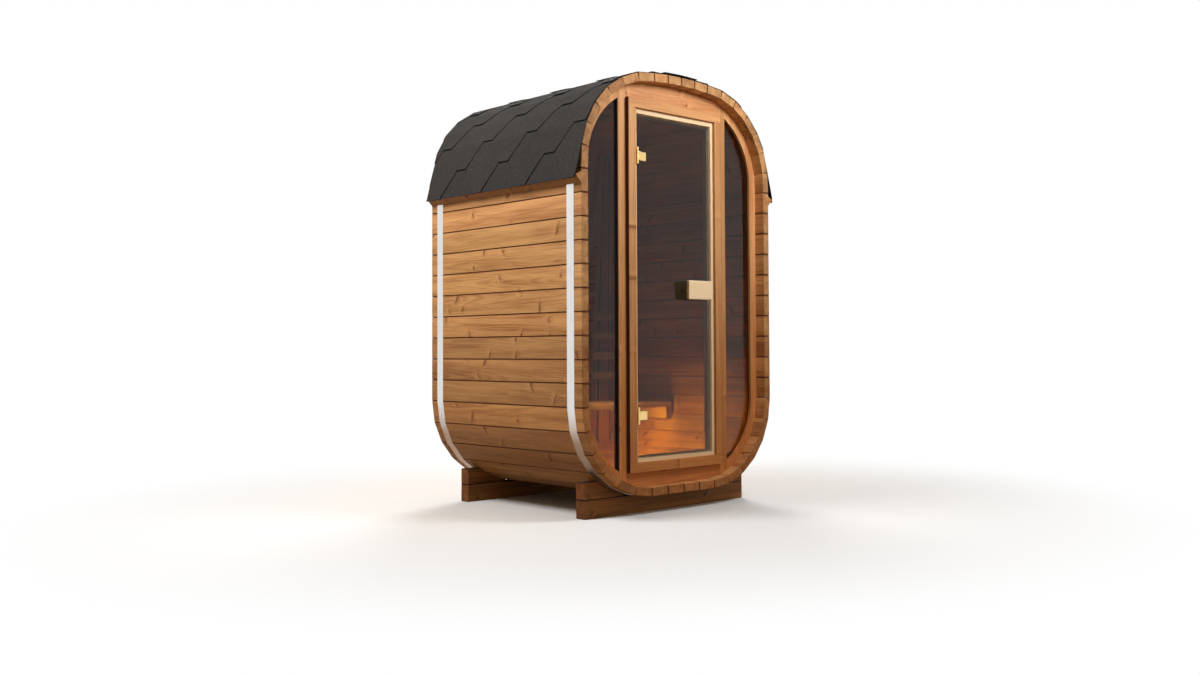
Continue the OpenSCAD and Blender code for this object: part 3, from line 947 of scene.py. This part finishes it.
def dress_ridge():
    """Overlapping caps along the crown."""
    drape = Drape()
    low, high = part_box("crown_shingles")
    chance = random.Random("ridge")
    shape = bmesh.new()
    layer = shape.loops.layers.float_vector.new("tab")
    count = round((high.y - low.y) / COURSE)
    step = (high.y - low.y) / count
    for k in range(count):
        y0 = low.y + k * step
        y1 = min(high.y, y0 + step * RIDGE_LAP)
        rows = []
        for n in range(2 * RIDGE_ROWS + 1):
            s = drape.total + RIDGE_REACH * (n / RIDGE_ROWS - 1)
            rows.append((s, y0, y1, FELT_STACK + RIDGE_SEAT + RIDGE_FELT, RIDGE_FELT))
        sheet_rows(shape, layer, drape, rows, chance.random(), 1, RIDGE_HEAD)
    bmesh.ops.recalc_face_normals(shape, faces=shape.faces)
    new_piece("ridge_caps", shape, MATERIALS["shingle"], "cabin", "shingle", "crown_shingles")


# Screws

def add_screw(shape, place, facing, radius):
    """Low round head with a hexagon socket, let into the face it holds."""
    side = facing.orthogonal().normalized()
    up = facing.cross(side)
    loops = []
    for reach, height, six in SCREW_PROFILE:
        loop = []
        for k in range(SCREW_STEPS):
            turn = math.tau * k / SCREW_STEPS
            flat = math.cos(SIXTH / 2) / math.cos(turn % SIXTH - SIXTH / 2) if six else 1.0
            out = side * math.cos(turn) + up * math.sin(turn)
            spot = place + facing * height * radius + out * reach * flat * radius
            loop.append(shape.verts.new(spot))
        loops.append(loop)
    for low, high in zip(loops, loops[1:]):
        for k in range(SCREW_STEPS):
            n = (k + 1) % SCREW_STEPS
            shape.faces.new((low[k], low[n], high[n], high[k]))
    shape.faces.new(loops[0][::-1])
    shape.faces.new(loops[-1])


def fit_screws():
    """Screws of the hinge plates, and those that close the clamps on the inside."""
    plate_low, plate_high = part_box("hinge_plates")
    _, clamp_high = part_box("hinge_clamps")
    face = min(v.co.y for v in frame["nodes"]["hinge_plates"].data.vertices
               if v.co.x < plate_low.x + WELD)
    plates = bmesh.new()
    clamps = bmesh.new()
    for middle in (plate_low.z + HINGE_TALL / 2, plate_high.z - HINGE_TALL / 2):
        for off in (-PLATE_SCREW_OFF, PLATE_SCREW_OFF):
            place = Vector((plate_low.x + PLATE_SCREW_IN, face, middle + off))
            add_screw(plates, place, Vector((0, -1, 0)), PLATE_SCREW_R)
        for off in CLAMP_SCREWS_IN:
            place = Vector((clamp_high.x - off, clamp_high.y, middle))
            add_screw(clamps, place, Vector((0, 1, 0)), CLAMP_SCREW_R)
    new_piece("hinge_plate_screws", plates, MATERIALS["brass"], "cabin", "brass")
    new_piece("hinge_clamp_screws", clamps, MATERIALS["brass"], "door", "brass")


# Seals, also painting shade, and strips of painted shade beside the casing

def strip(name, material, slot, x, y, z):
    """Upright strip with rounded edges, from its reach in x, y and z."""
    shape = prism([(x[0], z[0]), (x[1], z[0]), (x[1], z[1]), (x[0], z[1])], y[0], y[1])
    bevel(shape, list(shape.edges), STRIP_EASE, 3)
    mark_grain(shape, name)
    new_piece(name, shape, material, "cabin", slot)


def seal_windows():
    """Black seals where the panes meet the stiles, their dark also painting the shade on the
    stiles' window-side faces, and strips of painted shade on the casing's side faces.
    """
    for hand, side in (("left", -1), ("right", 1)):
        stile_low, stile_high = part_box(hand + "_stile")
        pane_low, pane_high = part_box(hand + "_window")
        casing_low, casing_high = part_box(hand + "_casing")
        sill_low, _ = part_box("casing_sill")
        _, head_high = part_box("casing_head")
        face = stile_low.x if side < 0 else stile_high.x
        # Black seal on the stile's window-side face, also painting the shade there
        strip(hand + "_window_seal", SEAL_AND_SHADE, "tinted_glass",
              sorted((face, face + side * SEAL_W)),
              (stile_low.y + SEAL_SETBACK, pane_low.y),
              (pane_low.z + SEAL_FOOT, pane_high.z - SEAL_HEAD))
        # Dark strip on the casing's side face: painted shade
        edge = casing_low.x if side < 0 else casing_high.x
        strip(hand + "_casing_bead", SHADE_STRIP, "trim_wood",
              sorted((edge, edge + side * SHADE_STRIP_W)),
              (casing_low.y + SHADE_STRIP_SETBACK, stile_low.y),
              (sill_low.z + SHADE_STRIP_END, head_high.z - SHADE_STRIP_END))


# Stage

def shade_floor(material):
    """Pale floor that keeps the shadow and fades to white away from the object."""
    wires = Wires(material.node_tree)
    nodes = material.node_tree.nodes
    nodes.remove(nodes["Principled BSDF"])
    seen = seen_rays(wires)
    place = wires.object_place()
    away = wires.fade(wires.vector("LENGTH", place), *FLOOR_FADE)
    speckle = wires.noise(place, scale=30.0, detail=2.0)
    pale = wires.blend(seen, tint(108, 96, 80), tint(246, 246, 246))
    pale = wires.blend(wires.maths("MULTIPLY", speckle, 0.03), pale, tint(230, 229, 228))
    matt = wires.node("BsdfDiffuse", {"Color": pale})
    white = wires.node("Emission", {"Color": WHITE, "Strength": 1.0})
    mixed = wires.node("MixShader", {0: wires.maths("MULTIPLY", away, seen),
                                     1: matt.outputs[0], 2: white.outputs[0]})
    wires.feed(nodes["Material Output"].inputs["Surface"], mixed.outputs[0])


def build_floor():
    """Wide flat floor under the object."""
    shape = bmesh.new()
    bmesh.ops.create_grid(shape, x_segments=FLOOR_SQUARES, y_segments=FLOOR_SQUARES,
                          size=FLOOR_REACH)
    mesh = bpy.data.meshes.new("studio_floor")
    shape.to_mesh(mesh)
    shape.free()
    material = bpy.data.materials.new("studio floor")
    material.use_nodes = True
    shade_floor(material)
    mesh.materials.append(material)
    floor = bpy.data.objects.new("studio_floor", mesh)
    bpy.context.scene.collection.objects.link(floor)


def build_world():
    """White to the eye and in reflections, softer and warmer as a light."""
    world = bpy.data.worlds.new("studio")
    world.use_nodes = True
    bpy.context.scene.world = world
    wires = Wires(world.node_tree)
    seen = seen_rays(wires)
    strength = wires.maths("MULTIPLY_ADD", seen, 1 - WORLD_LIGHT, WORLD_LIGHT)
    light = world.node_tree.nodes["Background"]
    wires.feed(light.inputs["Color"], wires.blend(seen, WORLD_TONE, WHITE))
    wires.feed(light.inputs["Strength"], strength)


def lamp(name, place, target, size, watts, colour=WHITE[:3], mirrored=True, spread=180):
    """Flat lamp turned to its target, hidden from the eye and, unless mirrored, from mirrors."""
    light = bpy.data.lights.new(name, "AREA")
    light.shape = "RECTANGLE"
    light.size, light.size_y = size
    light.energy = watts
    light.color = colour
    light.spread = math.radians(spread)
    holder = bpy.data.objects.new(name, light)
    holder.location = place
    holder.rotation_euler = (Vector(target) - Vector(place)).to_track_quat("-Z", "Y").to_euler()
    holder.visible_camera = False
    holder.visible_glossy = mirrored
    holder.visible_transmission = False
    bpy.context.scene.collection.objects.link(holder)


def build_lamps():
    """Daylight from the left, the front and behind, and an amber glow in the lower room."""
    lamp("left", (-2.9, 0.4, 3.9), (-0.7, 0, 1.5), (1.4, 1.4), watts=112)
    lamp("front", (0.3, -2.2, 2.8), (0, -0.65, 1.8), (0.7, 0.7), watts=38,
         colour=(0.94, 1.0, 1.08))
    lamp("front_fill", (0.9, -5.0, 1.7), (0, -0.65, 1.1), (2.0, 2.0), watts=16,
         colour=(1.0, 0.86, 0.70), mirrored=False)
    lamp("back", (3.6, 4.2, 3.8), (0.2, 0.2, 1.2), (2.6, 2.6), watts=300)
    lamp("indoor", (-0.05, -0.42, 2.0), (0.10, 0.22, 0.15), (0.25, 0.25), watts=5,
         colour=(1.0, 0.66, 0.16), mirrored=False, spread=44)
    lamp("bench_glow", (0.20, 0.16, 0.47), (0.34, 0.60, 0.20), (0.7, 0.06), watts=4.0,
         colour=(1.0, 0.62, 0.06), mirrored=False)
    lamp("wall_glow", (-0.50, 0.02, 0.34), (0.62, -0.16, 0.22), (0.10, 0.10), watts=3.6,
         colour=(1.0, 0.60, 0.04), mirrored=False, spread=56)


def build_camera():
    """Camera at the photograph's place, turned and shifted as its picture shows."""
    ahead = Vector((math.sin(CAMERA_TURN) * math.cos(CAMERA_TILT),
                    math.cos(CAMERA_TURN) * math.cos(CAMERA_TILT), math.sin(CAMERA_TILT)))
    level = Vector((math.cos(CAMERA_TURN), -math.sin(CAMERA_TURN), 0))
    above = level.cross(ahead)
    right = level * math.cos(CAMERA_ROLL) + above * math.sin(CAMERA_ROLL)
    up = above * math.cos(CAMERA_ROLL) - level * math.sin(CAMERA_ROLL)
    lens = bpy.data.cameras.new("photo camera")
    lens.sensor_fit = "HORIZONTAL"
    lens.sensor_width = SENSOR_W
    lens.lens = FOCAL_PX / PHOTO_W * SENSOR_W
    lens.shift_x = (PHOTO_W / 2 - AXIS_PX[0]) / PHOTO_W
    lens.shift_y = (AXIS_PX[1] - PHOTO_H / 2) / PHOTO_W
    holder = bpy.data.objects.new("photo_camera", lens)
    turn = Matrix((right, up, -ahead)).transposed().to_4x4()
    holder.matrix_world = Matrix.Translation(CAMERA_PLACE) @ turn
    bpy.context.scene.collection.objects.link(holder)
    bpy.context.scene.camera = holder


build_camera()
build_world()
build_floor()
build_lamps()

for node, slot in slot_of.items():
    if slot in WOODS and node != "back_wall":
        dress_timber(node)
dress_back_wall()
dress_slope("left_shingles", 1)
dress_slope("right_shingles", -1)
dress_ridge()
for node in METAL_NODES:
    dress_hard(node, METAL_EASE)
for node in GLASS_NODES:
    dress_hard(node, GLASS_EASE)
fit_screws()
seal_windows()

bpy.context.scene.view_settings.view_transform = "Standard"
